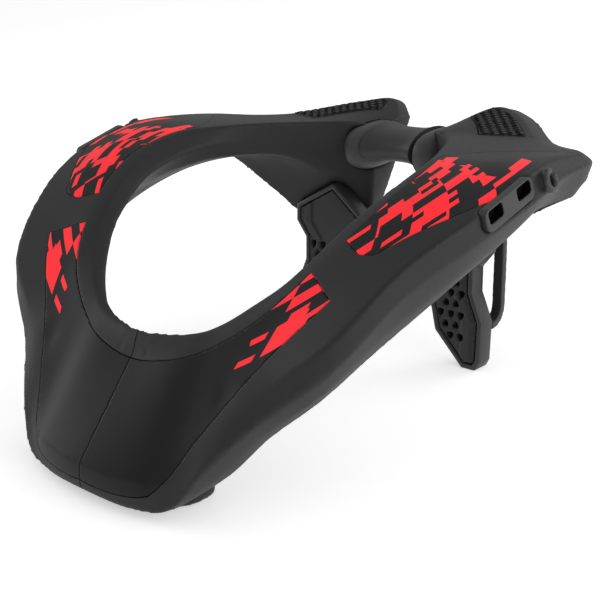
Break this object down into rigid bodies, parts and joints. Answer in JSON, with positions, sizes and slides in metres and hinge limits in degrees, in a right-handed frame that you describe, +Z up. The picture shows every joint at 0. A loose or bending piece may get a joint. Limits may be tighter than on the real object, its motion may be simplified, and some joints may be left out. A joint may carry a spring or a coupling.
{
  "type": "motocross neck brace",
  "caption": "Protective neck brace: a moulded foam collar that rests on the shoulders and limits how far a helmet tips.",
  "frame": {"origin": "bottom centre of the brace's box, on the surface it rests on", "axes": "+X to the right half, -Y towards the chest, +Y towards the back, +Z up"},
  "size_m": [0.2826, 0.2774, 0.1261],
  "materials": {
    "collar": "matte charcoal moulded foam shell",
    "inlay": "smooth matte black moulding with printed red blocks",
    "grip": "textured black rubber",
    "bar": "matte black plastic",
    "frame": "satin black plastic",
    "pad": "dull black soft moulding"
  },
  "bodies": {
    "root": {"collar_right": "collar", "collar_left": "collar", "chest_pad": "pad", "chest_plate_right": "inlay", "chest_plate_left": "inlay", "shoulder_panel_right": "inlay", "shoulder_panel_left": "inlay", "helmet_grip_right": "grip", "helmet_grip_left": "grip", "rear_bar": "bar", "bar_cap_right": "bar", "bar_cap_left": "bar", "pad_frame_right": "frame", "pad_frame_left": "frame", "pad_cushion_right": "pad", "pad_cushion_left": "pad", "strap_loop_right": "frame", "strap_loop_left": "frame", "strap_clip_right": "frame", "strap_clip_left": "frame", "clip_hook_right": "frame", "clip_hook_left": "frame"}
  },
  "joints": []
}
